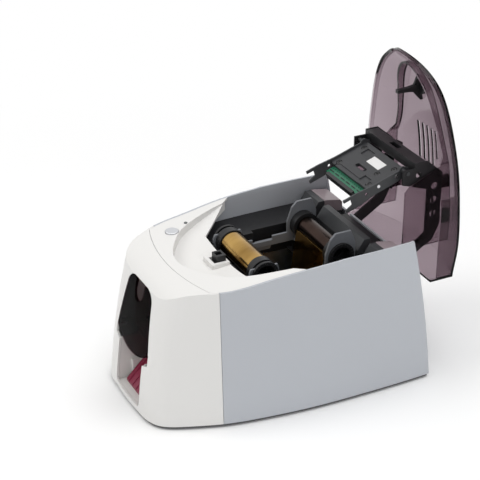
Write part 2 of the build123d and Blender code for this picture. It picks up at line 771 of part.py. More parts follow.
def make_hopper():
    """The open-fronted box that holds the blank cards, with the feed roller's opening."""
    inner = CARD_WIDTH / 2 + 1
    outer = inner + 2
    floor_top = CARD_LINE_Z + 1
    hopper = block(-outer, outer, HOPPER_FRONT, HOPPER_REAR, floor_top - 2, HOPPER_TOP)
    hopper -= block(-inner, inner, HOPPER_FRONT - 1, HOPPER_REAR - 2, floor_top, HOPPER_TOP + 1)
    hopper -= block(-inner, inner, HOPPER_REAR - 3, HOPPER_REAR + 1, floor_top - 0.4, floor_top + 1.4)
    hopper -= block(-FEED_HALF - 2, FEED_HALF + 2, FEED_ROLLER_Y - 9, FEED_ROLLER_Y + 9, 60, floor_top + 1)
    slot_y = (HOPPER_FRONT + HOPPER_REAR) / 2
    hopper -= block(-outer - 1, outer + 1, slot_y - 2.4, slot_y + 2.4, floor_top + 2, HOPPER_TOP - 4)
    foot = block(outer - 2, FRAME_HALF, HOPPER_REAR - 12, HOPPER_REAR - 4, floor_top - 2, floor_top + 10)
    foot -= block(outer, FRAME_HALF - 2, HOPPER_REAR - 13, HOPPER_REAR, floor_top, floor_top + 20)
    hopper += foot + mirrored(foot)
    return biggest(hopper & body_form(WALL + 1.4, 0.0))


def make_press_plate():
    """The plate that weighs the card stack down, guided by a tab on each side."""
    z0 = CARD_LINE_Z + 3
    slot_y = (HOPPER_FRONT + HOPPER_REAR) / 2
    plate = block(-26.5, 26.5, slot_y - 30, slot_y + 34, z0, z0 + 2)
    plate -= block(-10, 10, slot_y + 8, slot_y + 28, z0 - 1, z0 + 3)
    plate += block(-30.6, 30.6, slot_y - 2, slot_y + 2, z0, z0 + 3)
    return plate


def make_card_track():
    """Two grooved rails that lead a card by its edges under the print head."""
    y0 = HOPPER_REAR + 2
    y1 = BAY_REAR - 4
    inner = CARD_WIDTH / 2 + 0.4
    rail = block(inner - 3, inner + 5, y0, y1, CARD_LINE_Z - 5, CARD_LINE_Z + 4)
    rail -= block(inner - 4, inner, y0 - 1, y1 + 1, CARD_LINE_Z - 0.4, CARD_LINE_Z + 1.2)
    rail -= block(inner - 4, inner, y0 - 1, y1 + 1, CARD_LINE_Z + 1, CARD_LINE_Z + 9)
    rail -= block(inner - 4, inner + 6, PLATEN_Y - 17, PLATEN_Y + 17, CARD_LINE_Z - 1.0, CARD_LINE_Z + 9)
    rail -= block(inner - 4, PLATEN_HALF + 1.2, PLATEN_Y - 11, PLATEN_Y + 11, CARD_LINE_Z - 9, CARD_LINE_Z)
    foot = block(inner + 1, FRAME_HALF, 16, 26, CARD_LINE_Z - 5, CARD_LINE_Z - 3)
    rail += foot
    return both(rail)


def make_exit_ramp():
    """The slope that a printed card slides down, under the feed roller."""
    points = [(-26, 65.6), (-26, 67.4), (-80, 50.4), (-80, 48.6)]
    ramp = side_plate(points, -CARD_WIDTH / 2 - 1, CARD_WIDTH / 2 + 1)
    fin = side_plate([(-50, 60.2), (-50, 48), (-40, 48), (-40, 63.8)], 26, 28)
    foot = block(26, FRAME_HALF, -50, -40, 48, 50)
    ear = fin + foot
    return ramp + ear + mirrored(ear) - motor_clearance()


def motor_clearance():
    y, z = feed_pinion_place()
    return rod_x(FRAME_HALF - MOTOR_LENGTH - 3, FRAME_HALF + 1, y, z, MOTOR_RADIUS + 0.5)


def make_exit_bin():
    """The pocket behind the lower front opening, with a slot for the card in its back."""
    half = EXIT_HALF + 0.2
    top = BIN_TOP
    back = BIN_BACK
    box = block(-half - 2, half + 2, FRONT, back + 2, EXIT_BOTTOM - 2.5, top + 2)
    box -= block(-half, half, FRONT - 5, back, EXIT_BOTTOM, top)
    box -= block(-CARD_WIDTH / 2 - 1, CARD_WIDTH / 2 + 1, back - 1, back + 3, top - 12, top - 7)
    box -= block(-half - 3, half + 3, FRONT - 5, back - 20, top - 1, top + 3)
    step = block(-half, -half + 5, back - 30, back, EXIT_BOTTOM, EXIT_BOTTOM + 22)
    lug = block(half + 1, FRAME_HALF, back - 8, back + 2, EXIT_BOTTOM - 2.5, EXIT_BOTTOM)
    box = box + step + lug + mirrored(lug)
    foot = block(-20, 20, back - 16, back, FRAME_BOTTOM, EXIT_BOTTOM - 2.5)
    return biggest((box + foot) & body_form(WALL + SOFT_GAP, 0.0))


def make_exit_pad():
    low = EXIT_BOTTOM
    back = BIN_BACK
    points = [(back - 38, low), (back - 38, low + 3), (back - 7, low + 34), (back, low + 34), (back, low)]
    pad = side_plate(points, -EXIT_HALF + 5.6, EXIT_HALF - 0.1)
    band = [(back - 38, low + 2), (back - 38, low + 5), (back - 6, low + 37), (back - 6, low + 34)]
    for i in range(5):
        rib = block(-18 + 9 * i, -15.5 + 9 * i, back - 40, back - 5, low + 1, low + 40)
        pad -= rib & side_plate(band, -40, 40)
    return biggest(pad & body_form(WALL + SOFT_GAP, 0.0))


def cover_axis():
    return front_y(COVER_AXIS_Z) + COVER_AXIS_DEPTH


def cover_column():
    notch = rod_y(FRONT - 5, FRONT + 60, 0, WINDOW_TOP - NOTCH_DEPTH + NOTCH_HALF, NOTCH_HALF)
    notch += block(-NOTCH_HALF, NOTCH_HALF, FRONT - 5, FRONT + 60, WINDOW_TOP - NOTCH_DEPTH + NOTCH_HALF, TOP)
    return window_column(SEAM_GAP) - notch


def make_feeder_cover(skin):
    """The smoked door over the card hopper, hinged on two pins at its lower corners."""
    front_half = skin & block(-HALF, HALF, FRONT - 5, SEAM_Y - 10, 0, TOP)
    door = biggest(front_half & cover_column())
    y = cover_axis()
    side = WINDOW_HALF - 1.8
    lug = rod_x(side - 4, side, y, COVER_AXIS_Z, 3.0)
    lug += block(side - 4, side, y - 6.5, y, COVER_AXIS_Z - 1.5, COVER_AXIS_Z + 3)
    lug += rod_x(side - 1, WINDOW_HALF + 3, y, COVER_AXIS_Z, 1.5)
    return door + lug + mirrored(lug)


def cover_brackets():
    """Ears inside the front shell that hold the feeder door's pins."""
    y = cover_axis()
    ear = block(WINDOW_HALF + 0.4, WINDOW_HALF + 4, y - 8, y + 4, COVER_AXIS_Z - 4, COVER_AXIS_Z + 4)
    ear &= body_form(WALL - 0.8, 0.0)
    return both(ear - rod_x(WINDOW_HALF - 1, WINDOW_HALF + 5, y, COVER_AXIS_Z, 1.5 + RUNNING))


# ---- top controls -------------------------------------------------------------------
def make_latch():
    """The catch that the lid's hook drops into."""
    y0 = LATCH_Y - 5
    y1 = LATCH_Y + 7.6
    catch = block(-6.6, 6.6, y0 + LATCH_TRAVEL, y1, DECK_FLOOR - 2.8, DECK_FLOOR + 11.5)
    top = catch.edges().filter_by(Axis.Y).sort_by(Axis.Z)[-2:]
    catch = catch.fillet(1.0, top)
    catch += block(-9, 9, y0 - 1, y1 - 1.5, DECK_FLOOR - 5, DECK_FLOOR - 2.6)
    catch -= block(-3.2, 3.2, LATCH_Y - 1.4, LATCH_Y + 5.4, DECK_FLOOR + 1, TOP)
    return catch


def make_button():
    y = button_y()
    top = deck_height(y) + 0.9
    cap = rod_z(top - 7, top, BUTTON_X, y, BUTTON_RADIUS)
    cap = cap.fillet(0.8, cap.edges().sort_by(Axis.Z)[-1:])
    flange = rod_z(top - 7, top - 5, BUTTON_X, y, BUTTON_RADIUS + 1.2)
    flange -= lid_prism(-LID_CLEARANCE - WALL - SOFT_GAP, DECK_FLOOR, TOP)
    stem = rod_z(BUTTON_BOARD_Z + 6.4, top - 7, BUTTON_X, y, 2.2)
    return cap + flange + stem


def make_button_board():
    """The small board under the deck with the button's switch and two posts."""
    z0 = BUTTON_BOARD_Z
    board = block(-71, -51, button_y() - 8, led_y() + 5, z0, z0 + 1.4)
    switch = block(BUTTON_X - 3, BUTTON_X + 3, button_y() - 3, button_y() + 3, z0 + 1.4, z0 + 4.6)
    post = rod_z(z0 + 1.4, deck_height(led_y()) - WALL - 1.6, -69, led_y() - 6, 1.6)
    return board + switch + post


def make_led():
    top = deck_height(led_y()) + 0.3
    return rod_z(BUTTON_BOARD_Z + 1.4, top, LED_X, led_y(), LED_RADIUS)


# ---- electronics --------------------------------------------------------------------
def make_main_board():
    top = BOARD_Z + 1.6
    board = block(-BOARD_HALF, BOARD_HALF, BOARD_FRONT, BOARD_REAR, BOARD_Z, top)
    chips = [block(-26, -8, 66, 84, top, top + 1.6), block(8, 18, 58, 72, top, top + 1.2)]
    chips += [block(-30 + 16 * i, -22 + 16 * i, 92, 104, top, top + 5) for i in range(4)]
    cans = [rod_z(top, top + 11, 31, 60 + 11 * i, 4) for i in range(3)]
    for piece in chips + cans:
        board += piece
    return board


def board_posts():
    return [(x, y) for x in (-BOARD_HALF + 5, BOARD_HALF - 5) for y in (BOARD_FRONT + 5, BOARD_REAR - 14)]


def make_standoffs():
    return group(*[rod_z(FRAME_BOTTOM, BOARD_Z, x, y, 3) for x, y in board_posts()])


def make_power_socket():
    x0, x1, z0, z1 = POWER_BOX
    socket = block(x0, x1, BOARD_REAR - 12, socket_face(), z0, z1)
    mid = ((x0 + x1) / 2, (z0 + z1) / 2)
    socket -= rod_y(BOARD_REAR - 6, REAR, *mid, 4.0)
    return socket + rod_y(BOARD_REAR - 7, socket_face() - 2, *mid, 1.1)


def make_usb_socket():
    x0, x1, z0, z1 = USB_BOX
    socket = block(x0, x1, BOARD_REAR - 12, socket_face(), z0, z1)
    socket -= block(x0 + 1.4, x1 - 1.4, BOARD_REAR - 8, REAR, z0 + 1.4, z1 - 1.4)
    tongue = block(x0 + 3.6, x1 - 3.6, BOARD_REAR - 9, socket_face() - 2, z0 + 4.4, z1 - 4.4)
    return socket + tongue


def socket_face():
    return rear_y(24) - 1.2


# ---- lid ----------------------------------------------------------------------------
def crown_section(y, height):
    """A slice across the shut lid at y: its curved top over a deep box."""
    half = HALF - 7
    drop = LID_CROWN_RADIUS - math.sqrt(LID_CROWN_RADIUS**2 - half**2)
    arc = ThreePointArc((-half, height - drop), (0, height), (half, height - drop))
    box = Polyline((half, height - drop), (half, 80), (-half, 80), (-half, height - drop))
    return Plane.XZ.offset(-y) * make_face([arc] + box.edges())


def lid_form(drop):
    """Everything below the lid's outer surface lowered by drop."""
    sections = [crown_section(y, height - drop) for y, height in LID_CROWN]
    return loft(sections)


def ring_prism(inset, thickness, z0, z1):
    return lid_prism(inset, z0, z1) - lid_prism(inset + thickness, z0 - 1, z1 + 1)


def skirt_half_points(inset):
    spots = [(0, -76), (16, -69), (26, -56), (33, -36), (39, -12), (45, 8), (50.4, 20)]
    points = [(max(0, x - inset), y + inset) for x, y in spots]
    return points + [(SKIRT_HALF - inset, 36)]


def skirt_outline(inset, rear):
    points = skirt_half_points(inset)
    half = Spline(*points, tangents=((1, 0), (0.1, 1)))
    side = Line(points[-1], (points[-1][0], rear))
    back = Line((points[-1][0], rear), (-points[-1][0], rear))
    return make_face([half, side, back, side.mirror(Plane.YZ), half.mirror(Plane.YZ)])


def make_skirt(limit):
    """The inner wall of the lid, shallow in front and deep beside the ribbon bay."""
    rear = BAY_REAR + 18
    outer = extrude(Plane.XY.offset(100) * skirt_outline(0, rear), amount=110)
    inner = extrude(Plane.XY.offset(99) * skirt_outline(SKIRT_THICKNESS, rear + 1), amount=112)
    low = TOP - SKIRT_DROP
    points = [(-80, 150), (-57, 157), (-40, 162), (-9, 169), (14, 172), (24, 165), (31, 146)]
    points += [(38, 130), (44, low), (rear - 4, low), (rear, low + 6), (rear, 220), (-80, 220)]
    return (outer - inner) & side_plate(points, -SKIRT_HALF - 2, SKIRT_HALF + 2) & limit


def make_lid_shell():
    outer = lid_form(0.0)
    under = lid_form(LID_THICKNESS)
    sheet = (outer - under) & lid_prism(0, 90, 230)
    ring = ring_prism(0, LID_RIM, 90, 230) & outer
    lip = ring - lid_form(LID_THICKNESS + LID_LIP)
    side_walls = ring & block(-HALF, HALF, LID_WALL_START, LID_REAR + 5, TOP - LID_WALL_DROP, 230)
    rear_wall = ring & block(-HALF, HALF, LID_REAR - 2.5, LID_REAR + 5, TOP - LID_REAR_DROP, 230)
    skirt = make_skirt(lid_form(LID_THICKNESS / 2))
    pads = block(43, 50.9, 36, 48, ARM_TOP, 230) + block(43, 50.9, 76, 88, ARM_TOP, 230)
    pads = (pads + mirrored(pads)) & lid_form(LID_THICKNESS / 2)
    shell = sheet + lip + side_walls + rear_wall + skirt + pads
    for middle, y0, y1 in vent_places():
        vent = SlotCenterToCenter(y1 - y0, VENT_WIDTH, rotation=90)
        shell -= Pos(middle, (y0 + y1) / 2, 175) * extrude(vent, amount=55)
    for x, y in screw_places():
        shell -= rod_z(ARM_TOP - 1, ARM_TOP + 6, x, y, SCREW_RADIUS + RUNNING)
    return biggest(shell)


def vent_places():
    middles = [2 + VENT_PITCH * step for step in (-2, -1, 0, 1, 2)]
    return [(middle, 0.0, 30.0 if middle > 15 else 41.0) for middle in middles]


def screw_places():
    return [(side * 45.6, y) for side in (-1, 1) for y in (42, 82)]


def make_lid_arm():
    """The right-hand black arm from the hinge pin to the lid and the print head."""
    top = ARM_TOP
    outline = [(14, 136), (14, 151), (30, top), (90, top), (107, top - 8), (PIVOT_Y + 6, PIVOT_Z + 4)]
    outline += [(PIVOT_Y, PIVOT_Z - 6), (PIVOT_Y - 6, PIVOT_Z - 1), (97, 152), (46, 152)]
    outline += [(36, 122), (20, 122), (20, 136)]
    inner = ARM_HALF - ARM_THICKNESS
    arm = side_plate(outline, inner, ARM_HALF)
    arm += rod_x(inner, ARM_HALF, PIVOT_Y, PIVOT_Z, 6.5)
    arm += block(43, ARM_HALF, 34, 90, top - 1.8, top)
    for y, z, radius in ((44, 161, 4), (60, 161, 4), (76, 161, 4), (28, 141, 3.2)):
        arm -= rod_x(inner - 1, ARM_HALF + 1, y, z, radius)
    arm -= rod_x(inner - 1, ARM_HALF + 1, PIVOT_Y, PIVOT_Z, SHAFT_RADIUS + RUNNING)
    arm -= rod_x(inner - 1, ARM_HALF + 1, HEAD_PIVOT_Y, HEAD_PIVOT_Z, HEAD_PIN + RUNNING)
    for x, y in screw_places():
        if x > 0:
            arm -= rod_z(top - 4, top + 1, x, y, SCREW_RADIUS + RUNNING)
    return arm


def make_lid_screws():
    screws = []
    for x, y in screw_places():
        screw = rod_z(ARM_TOP - 1.8, ARM_TOP + 5.5, x, y, SCREW_RADIUS)
        screws.append(screw + rod_z(ARM_TOP - 3.4, ARM_TOP - 1.8, x, y, SCREW_RADIUS + 0.8))
    return group(*screws)


def make_bracket():
    """The cross bracket between the lid's arms, over the print head."""
    half = ARM_HALF - ARM_THICKNESS
    bracket = block(-half, half, 14.5, 25, 136, 150)
    bracket -= block(-half + 3, half - 3, 17, 26, 138.4, 147)
    bracket -= block(-8, 8, 14, 18, 140, 146)
    for middle in (-33, -11, 11, 33):
        bracket += block(middle - 1, middle + 1, 16, 25, 137, 148)
    for middle in (-36, 0, 36):
        bracket -= rod_z(148, 151, middle, 20, 2)
    return bracket


def make_hook():
    """The lid's black hook on an oval boss, above the catch in the deck."""
    y = LATCH_Y + 2
    stem = [(y - 1.8, DECK_FLOOR + 4), (y + 1.8, DECK_FLOOR + 4), (y + 2.4, DECK_FLOOR + 18), (y + 6, 175)]
    stem += [(y - 6, 175), (y - 2.4, DECK_FLOOR + 18)]
    hook = side_plate(stem, -2.2, 2.2)
    boss = Pos(0, y, 168) * extrude(Ellipse(10, 7.5), amount=10)
    rib = [(y - 22, 168), (y - 4, 161), (y + 4, 161), (y + 14, 170), (y + 14, 180), (y - 22, 180)]
    return biggest((hook + boss + side_plate(rib, -1.2, 1.2)) & lid_form(LID_THICKNESS + 0.1))


# ---- print head ---------------------------------------------------------------------
def head_place(shape):
    """Moves a piece drawn upright at the origin to the head's place, tilted."""
    return Pos(0, HEAD_TOP_Y, HEAD_TOP_Z) * Rot(HEAD_TILT, 0, 0) * shape


def make_head_plate():
    plate = block(-HEAD_HALF, HEAD_HALF, 0, HEAD_THICKNESS, -HEAD_LENGTH, 0)
    corners = plate.edges().filter_by(Axis.Y)
    plate = chamfer(corners, 2.5)
    plate -= block(-9, 5, -1, 6, -32, -27) + rod_y(-1, 6, -9, -29.5, 2.5) + rod_y(-1, 6, 5, -29.5, 2.5)
    for x, z in ((-30, -8), (30, -8), (-30, -40), (30, -40), (22, -24)):
        plate -= rod_y(-1, 6, x, z, 1.9)
        plate -= rod_y(-1, 1, x, z, 3.4)
    plate -= block(-25, -11, -1, 1.2, -16, -6) + block(14, 27, -1, 1.2, -42, -34)
    plate -= block(-30, 18, -1, 0.8, -HEAD_LENGTH - 1, -HEAD_LENGTH + 5)
    plate -= block(-7.2, 17.2, -1, 0.4, -20.2, -8.8)
    for middle in (-24, 0, 24):
        plate += block(middle - 1, middle + 1, HEAD_THICKNESS, HEAD_THICKNESS + 5, -HEAD_LENGTH + 6, -4)
    return head_place(plate)


def make_head_label():
    return head_place(block(-7, 17, 0.1, 0.4, -20, -9))


def make_head_board():
    half = HEAD_HALF - 5
    back = HEAD_THICKNESS + 0.1
    return head_place(block(-half, half, back, back + 1.6, -HEAD_BOARD_END, -HEAD_LENGTH + 5))


def make_thermal_bar():
    """The heating bar along the lower edge of the head's circuit strip."""
    back = HEAD_THICKNESS + 4
    return head_place(block(-BAR_HALF, BAR_HALF, 1.5, back, -HEAD_BAR_END, -HEAD_BOARD_END - 0.1))


def make_fork():
    """One side arm of the head, forked to straddle the platen's shaft."""
    drop_y = PLATEN_Y - HEAD_TOP_Y
    drop_z = PLATEN_Z - HEAD_TOP_Z
    turn = math.radians(HEAD_TILT)
    slot_y = drop_y * math.cos(turn) + drop_z * math.sin(turn)
    slot_z = -drop_y * math.sin(turn) + drop_z * math.cos(turn)
    gap = SHAFT_RADIUS + 0.7
    tip = slot_z - 5
    outline = [(slot_y - gap - 3.2, tip), (slot_y - gap - 3.2, tip + 16), (-2, -40), (-2, 1)]
    outline += [(0, 4), (8, 4), (9, -20), (9, -40)]
    outline += [(slot_y + gap + 6, tip + 16), (slot_y + gap + 6, tip)]
    slot = [(slot_y - gap, slot_z - 20), (slot_y - gap, slot_z + gap), (slot_y + gap, slot_z + gap)]
    slot += [(slot_y + gap + 2.6, tip), (slot_y + gap + 2.6, slot_z - 20)]
    x0 = HEAD_HALF + 0.05
    x1 = x0 + FORK_THICKNESS
    fork = side_plate(outline, x0, x1) - side_plate(slot, x0 - 1, x1 + 1)
    fork -= rod_x(x0 - 1, x1 + 1, 3.5, -49, 1.7)
    fork = head_place(fork)
    pin_boss = rod_x(x0, x1, HEAD_PIVOT_Y, HEAD_PIVOT_Z, 4.2)
    return fork + pin_boss + rod_x(x1, ARM_HALF + 0.6, HEAD_PIVOT_Y, HEAD_PIVOT_Z, HEAD_PIN)


def make_fork_screws():
    inner = HEAD_HALF + 0.05 + FORK_THICKNESS
    heads = [rod_x(inner, HEAD_HALF + 2.2, 2, z, 1.8) for z in (-12, -34)]
    return both(*[head_place(screw) for screw in heads])


def make_harness():
    """The cable that the lid carries from the print head along its right arm."""
    x = ARM_HALF - ARM_THICKNESS - 2.3
    spots = [(22, 22, 143), (34, 33, 150), (43, 45, 157), (x - 0.2, 66, 163)]
    path = Spline(*spots, (x, 92, 160), (x, 112, 136), (x, 123, 120))
    circle = Plane(path @ 0, z_dir=path % 0) * Circle(1.4)
    return sweep(circle, path=path)


# ---- ribbon cassette ----------------------------------------------------------------
def make_spool(y):
    """A hollow core with a stepped ring at each end that turns in the end plates."""
    core = rod_x(-31, 31, y, SPOOL_Z, CORE_RADIUS)
    ring = rod_x(31, END_PLATE_OUTER - END_PLATE_THICKNESS - 0.4, y, SPOOL_Z, RING_RADIUS)
    ring += rod_x(31, CASSETTE_HALF, y, SPOOL_Z, JOURNAL_RADIUS)
    ring += rod_x(END_PLATE_OUTER + 0.4, CASSETTE_HALF, y, SPOOL_Z, RING_RADIUS)
    ring -= rod_x(33, CASSETTE_HALF + 1, y, SPOOL_Z, RING_BORE)
    for tooth in range(6):
        lug = block(36, 43, RING_BORE - 1.6, RING_BORE + 0.4, -0.9, 0.9)
        ring += Pos(0, y, SPOOL_Z) * Rot(60 * tooth, 0, 0) * lug
    spool = core + ring + mirrored(ring)
    return spool - rod_x(-34, 34, y, SPOOL_Z, CORE_RADIUS - 2)


def make_film(y, radius):
    film = rod_x(-FILM_HALF, FILM_HALF, y, SPOOL_Z, radius)
    return film - rod_x(-FILM_HALF - 1, FILM_HALF + 1, y, SPOOL_Z, CORE_RADIUS + RUNNING)


def make_end_plate():
    """One end of the cassette: a clip for the supply spool and a tall rear panel."""
    x0 = END_PLATE_OUTER - END_PLATE_THICKNESS
    x1 = END_PLATE_OUTER
    low = LEDGE_TOP
    beam = [(SUPPLY_Y - 12, low), (TAKEUP_Y + 15, low)]
    beam += [(TAKEUP_Y + 17.5, low + 10.5), (SUPPLY_Y - 14, low + 10.5)]
    plate = side_plate(beam, x0, x1)
    clip = rod_x(x0, x1, SUPPLY_Y, SPOOL_Z, RING_RADIUS + 2.4) - block(0, 60, -60, 20, SPOOL_Z + 8, TOP)
    tall = [(TAKEUP_Y - 17, low), (TAKEUP_Y + 15, low), (TAKEUP_Y + 17.5, 128), (TAKEUP_Y + 17.5, 150)]
    tall += [(TAKEUP_Y + 12, 164), (TAKEUP_Y - 6, 164), (TAKEUP_Y - 12, 158), (TAKEUP_Y - 17.5, 142)]
    plate += clip + side_plate(tall, x0, x1)
    for y in (SUPPLY_Y, TAKEUP_Y):
        plate -= rod_x(x0 - 1, x1 + 1, y, SPOOL_Z, JOURNAL_RADIUS + 0.1)
    plate -= block(x0 - 1, x1 + 1, HEAD_PIVOT_Y - 10, HEAD_PIVOT_Y + 14, low + 6, TOP)
    mid = CASSETTE_MID
    rib = [(mid - 11, low + 6), (mid - 7, low - 5), (mid + 7, low - 5), (mid + 11, low + 6)]
    return plate + side_plate(rib, x1 - 0.5, x1 + 1.6)


def make_cassette_rails():
    half = END_PLATE_OUTER - END_PLATE_THICKNESS
    starts = (SUPPLY_Y - 11, SUPPLY_Y + 13, TAKEUP_Y - 10, TAKEUP_Y + 10)
    spots = [(start, start + 4) for start in starts]
    return group(*[block(-half, half, y0, y1, LEDGE_TOP, LEDGE_TOP + 3) for y0, y1 in spots])


def make_ribbon_web():
    """The film between the spools, hanging in a V down to the platen."""
    low = CARD_LINE_Z + 0.35
    front = SUPPLY_Y + FILM_RADIUS + 0.5
    back = TAKEUP_Y - TAKEUP_FILM - 0.5
    t = WEB_THICKNESS
    points = [(front, SPOOL_Z - 1), (PLATEN_Y - 4.6, low), (PLATEN_Y + 4.6, low), (back, SPOOL_Z - 1)]
    inner = [(back - t, SPOOL_Z - 1), (PLATEN_Y + 4.6 - t, low + t)]
    inner += [(PLATEN_Y - 4.6 + t, low + t), (front + t, SPOOL_Z - 1)]
    return side_plate(points + inner, -FILM_HALF, FILM_HALF)


# ---- export -------------------------------------------------------------------------
def casing_parts():
    form, skin = make_skin()
    side = make_side_panel(skin)
    return {
        "base_tray": make_base_tray(),
        "rubber_feet": make_feet(),
        "front_shell": make_front_shell(skin) + cover_brackets(),
        "side_panels": group(side, mirrored(side)),
        "rear_panel": make_rear_panel(skin),
        "top_deck": make_deck(form),
        "feeder_cover": make_feeder_cover(skin),
    }


def frame_parts():
    return {
        "chassis_plates": make_chassis_plates(),
        "chassis_rods": make_chassis_rods(),
        "hinge_pin": make_hinge_pin(),
        "bay_liner": make_bay_liner(),
        "rear_frame": make_rear_frame(),
        "rear_beam": make_rear_beam(),
        "rear_corner_covers": make_corner_covers(),
        "card_hopper": make_hopper(),
        "press_plate": make_press_plate(),
        "card_track": make_card_track(),
        "exit_ramp": make_exit_ramp(),
        "exit_bin": make_exit_bin(),
        "exit_pad": make_exit_pad(),
        "latch_catch": make_latch(),
        "control_button": make_button(),
        "button_board": make_button_board(),
        "status_led": make_led(),
        "main_board": make_main_board(),
        "board_standoffs": make_standoffs(),
        "rear_sockets": group(make_power_socket(), make_usb_socket()),
    }


def drive_parts():
    parts = make_gears()
    parts["platen_shaft"] = make_shaft(PLATEN_Y, PLATEN_Z)
    parts["feed_shaft"] = make_shaft(FEED_ROLLER_Y, FEED_ROLLER_Z)
    parts["exit_shaft"] = make_shaft(EXIT_ROLLER_Y, EXIT_ROLLER_Z)
    parts["platen_roller"] = make_roller(PLATEN_Y, PLATEN_Z, PLATEN_RADIUS, PLATEN_HALF)
    parts["feed_roller"] = make_roller(FEED_ROLLER_Y, FEED_ROLLER_Z, ROLLER_RADIUS, FEED_HALF)
    parts["exit_roller"] = make_roller(EXIT_ROLLER_Y, EXIT_ROLLER_Z, ROLLER_RADIUS, FEED_HALF)
    parts["roller_bushes"] = make_bushes()
    parts["drive_motor"] = make_motor(drive_pinion_place())
    parts["feed_motor"] = make_motor(feed_pinion_place())
    return parts


def cassette_parts():
    return {
        "cassette_plates": both(make_end_plate()),
        "cassette_rails": make_cassette_rails(),
        "ribbon_web": make_ribbon_web(),
        "supply_core": make_spool(SUPPLY_Y),
        "supply_film": make_film(SUPPLY_Y, FILM_RADIUS),
        "takeup_core": make_spool(TAKEUP_Y),
        "takeup_film": make_film(TAKEUP_Y, TAKEUP_FILM),
    }


def lid_parts():
    """Everything that swings with the lid, drawn shut."""
    arm = make_lid_arm()
    return {
        "lid_shell": make_lid_shell(),
        "lid_arms": group(arm, mirrored(arm)),
        "lid_screws": make_lid_screws(),
        "lid_bracket": make_bracket(),
        "lid_hook": make_hook(),
        "head_harness": make_harness(),
        "head_plate": make_head_plate(),
        "head_label": make_head_label(),
        "head_board": make_head_board(),
        "thermal_bar": make_thermal_bar(),
        "head_forks": both(make_fork()),
        "fork_screws": make_fork_screws(),
    }


def centre_shift(parts):
    """How far to move everything along Y so that the whole is centred on the origin."""
    boxes = [shape.bounding_box() for shape in parts.values()]
    return -(min(box.min.Y for box in boxes) + max(box.max.Y for box in boxes)) / 2


def main():
    os.makedirs("parts", exist_ok=True)
    parts = {**casing_parts(), **frame_parts(), **drive_parts(), **cassette_parts()}
    parts.update({name: to_open(shape) for name, shape in lid_parts().items()})
    shift = centre_shift(parts)
    print("moved along Y by", round(shift, 5))
    for name, shape in parts.items():
        export_step(Pos(0, shift, 0) * shape, "parts/" + name + ".step")
        print(name, len(shape.solids()), round(shape.volume, 1), shape.is_valid)


main()
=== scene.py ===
import bpy
import bmesh
import json
import math
import random
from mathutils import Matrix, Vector


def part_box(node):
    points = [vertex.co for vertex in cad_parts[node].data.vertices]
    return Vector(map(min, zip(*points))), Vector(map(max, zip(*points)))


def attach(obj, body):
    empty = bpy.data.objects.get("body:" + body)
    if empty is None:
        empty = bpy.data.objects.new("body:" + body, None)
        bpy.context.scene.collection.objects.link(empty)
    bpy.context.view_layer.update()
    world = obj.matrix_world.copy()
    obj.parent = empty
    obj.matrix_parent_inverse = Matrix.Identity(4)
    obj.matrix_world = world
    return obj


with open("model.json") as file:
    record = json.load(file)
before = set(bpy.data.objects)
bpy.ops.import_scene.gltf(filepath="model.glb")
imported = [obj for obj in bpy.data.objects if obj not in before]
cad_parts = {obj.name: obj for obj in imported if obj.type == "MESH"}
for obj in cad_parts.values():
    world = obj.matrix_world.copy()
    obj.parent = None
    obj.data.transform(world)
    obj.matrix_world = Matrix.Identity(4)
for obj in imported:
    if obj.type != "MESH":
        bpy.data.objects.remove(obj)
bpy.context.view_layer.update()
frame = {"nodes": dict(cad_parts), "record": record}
NODES = frame["nodes"]
random.seed(7)

# ---- camera, floor and light: places in metres, powers in watts ---------------------
FOCAL_PIXELS = 1500.0
PHOTO_PIXELS = 480.0
SENSOR = 36.0
CAMERA_PLACE = Vector((1.2117, -0.6531, 0.8778))
CAMERA_AIM = Vector((-0.7902, 0.3940, -0.4695))
FLOOR_HALF = 6.0
FADE_START = 0.30
FADE_END = 0.80
FILL_LIGHT = 0.55
LAMP_AIM = Vector((0.0, 0.0, 0.12))
# Each lamp's name, place, diameter, power and colour.
LAMPS = [
    ("key", (-0.5, -1.3, 1.9), 1.4, 14.0, (1.0, 0.99, 0.975)),
    ("side", (1.9, -0.2, 1.1), 1.6, 5.0, (0.97, 0.985, 1.0)),
    ("top", (0.2, 0.5, 2.3), 1.8, 20.5, (1.0, 1.0, 1.0)),
]

# ---- print head details, in metres --------------------------------------------------
ACROSS = Vector((1, 0, 0))
HEAD_TILT = math.radians(18.4)
HEAD_ORIGIN = Vector((0, 0.12124, 0.2186))
HEAD_DOWN = Vector((0, -math.cos(HEAD_TILT), -math.sin(HEAD_TILT)))
HEAD_BACK = Vector((0, math.sin(HEAD_TILT), -math.cos(HEAD_TILT)))
# Where each screw is: across from the head's middle, and down from its top edge.
HEAD_SCREWS = [
    (-0.030, 0.008),
    (0.030, 0.008),
    (-0.030, 0.040),
    (0.030, 0.040),
    (0.022, 0.024),
]
SCREW_HEAD = 0.0031
SOCKET_SIDES = 6
# A screw head's loops: depth behind the head's face, share of SCREW_HEAD, and sides.
SCREW_PROFILE = [
    (0.00095, 1.0, 0),
    (0.00045, 1.0, 0),
    (0.00020, 0.82, 0),
    (0.00020, 0.48, SOCKET_SIDES),
    (0.00075, 0.44, SOCKET_SIDES),
]
LOOP_STEPS = 24
BOARD_DEPTH = 0.0041
DRIVER_CHIPS = 6
DRIVER_STEP = 0.011
DRIVER_DOWN = 0.0516
DRIVER_SIZE = (0.0074, 0.0009, 0.0007)
SMALL_CHIPS = 16
SMALL_STEP = 0.004
SMALL_WANDER = 0.0005
SMALL_DOWN = 0.0482
SMALL_SIZE = (0.0011, 0.0006, 0.00045)
# A chip's loops: share of its height, and share of its width and length.
CHIP_PROFILE = [(0.0, 1.0), (0.72, 1.0), (1.0, 0.86)]

